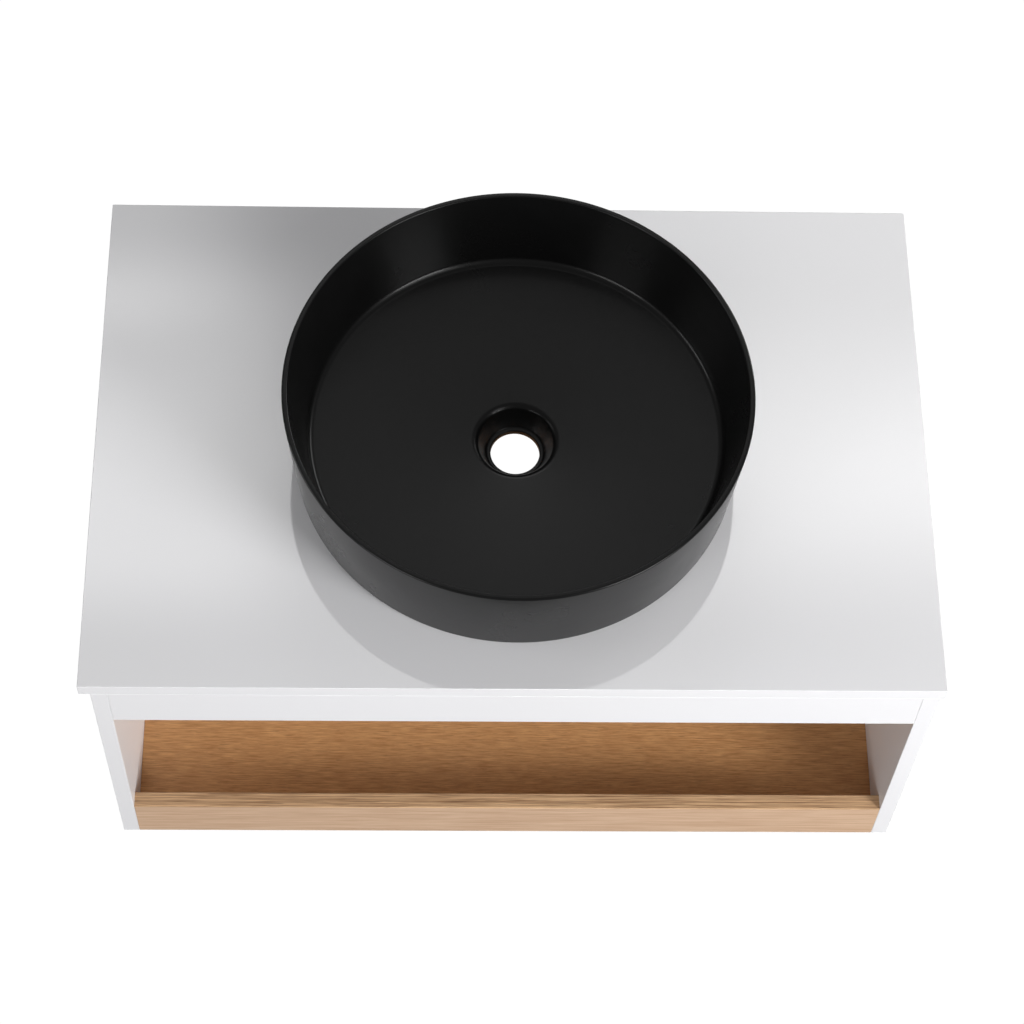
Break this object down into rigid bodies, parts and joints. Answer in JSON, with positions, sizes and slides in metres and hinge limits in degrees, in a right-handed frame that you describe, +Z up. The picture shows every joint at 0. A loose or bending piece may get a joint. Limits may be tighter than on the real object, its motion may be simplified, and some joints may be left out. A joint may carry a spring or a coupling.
{
  "type": "vessel sink on vanity",
  "caption": "Wall-hung bathroom vanity with a round black vessel basin on a white worktop, an open oak shelf with a raised lip, and adjustable concealed wall hangers.",
  "frame": {"origin": "centre of the four wall screw holes, on the wall plane", "axes": "+X right seen from the front, +Y into the wall, +Z up"},
  "size_m": [0.762, 0.508, 0.435],
  "materials": {
    "white_gloss_lacquer": "high-gloss white lacquer on board",
    "white_satin_lacquer": "satin white lacquer on board",
    "oak_floor": "matt natural oak veneer, fine grain",
    "oak_face": "matt natural oak veneer, pale face",
    "oak_edge": "oak edge band with coarse stripes",
    "black_glaze": "satin black glaze",
    "clear_seal": "translucent silicone",
    "beech": "fluted beech",
    "zinc_steel": "bright zinc plate",
    "die_cast_zinc": "matt zinc die casting",
    "screw_steel": "yellow zinc plate"
  },
  "bodies": {
    "wall_side": {"wall_plate_left": "zinc_steel", "wall_plate_right": "zinc_steel", "hanger_hook_left": "zinc_steel", "hanger_hook_right": "zinc_steel"},
    "sliders": {"hanger_slider_left": "die_cast_zinc", "hanger_slider_right": "die_cast_zinc"},
    "cabinet": {"countertop": "white_gloss_lacquer", "side_panel_left": "white_satin_lacquer", "side_panel_right": "white_satin_lacquer", "front_rail": "white_satin_lacquer", "rear_rail": "white_satin_lacquer", "shelf_board": "oak_floor", "shelf_lip": "oak_face", "lip_edge_band": "oak_edge", "vessel_basin": "black_glaze", "basin_seal": "clear_seal", "dowels": "beech", "cam_bolts": "zinc_steel", "cam_locks": "die_cast_zinc", "corner_braces": "zinc_steel", "brace_screws": "zinc_steel", "hanger_screws": "zinc_steel", "hanger_housing_left": "zinc_steel", "hanger_housing_right": "zinc_steel"},
    "left_depth_screw": {"depth_screw_left": "screw_steel"},
    "right_depth_screw": {"depth_screw_right": "screw_steel"},
    "left_height_screw": {"height_screw_left": "screw_steel"},
    "right_height_screw": {"height_screw_right": "screw_steel"}
  },
  "joints": [
    {"name": "depth_adjust", "type": "slide", "parent": "wall_side", "child": "sliders", "axis": [0, -1, 0], "range_m": [0, 0.008]},
    {"name": "height_adjust", "type": "slide", "parent": "sliders", "child": "cabinet", "axis": [0, 0, 1], "range_m": [-0.006, 0.006]},
    {"name": "left_depth_turn", "type": "hinge", "parent": "sliders", "child": "left_depth_screw", "pos_m": [-0.3409, -0.088, 0.036], "axis": [0, 1, 0], "range_deg": [-2880, 0]},
    {"name": "left_height_turn", "type": "hinge", "parent": "cabinet", "child": "left_height_screw", "pos_m": [-0.3512, -0.063, 0.041], "axis": [0, 0, 1], "range_deg": [-2160, 2160]},
    {"name": "right_depth_turn", "type": "hinge", "parent": "sliders", "child": "right_depth_screw", "pos_m": [0.3409, -0.088, 0.036], "axis": [0, 1, 0], "range_deg": [-2880, 0]},
    {"name": "right_height_turn", "type": "hinge", "parent": "cabinet", "child": "right_height_screw", "pos_m": [0.3512, -0.063, 0.041], "axis": [0, 0, 1], "range_deg": [-2160, 2160]}
  ],
  "couplings": [
    {"joint": "left_depth_turn", "follows": "depth_adjust", "rad_per_m": -6283.2},
    {"joint": "left_height_turn", "follows": "height_adjust", "rad_per_m": 6283.2},
    {"joint": "right_depth_turn", "follows": "depth_adjust", "rad_per_m": -6283.2},
    {"joint": "right_height_turn", "follows": "height_adjust", "rad_per_m": 6283.2}
  ]
}
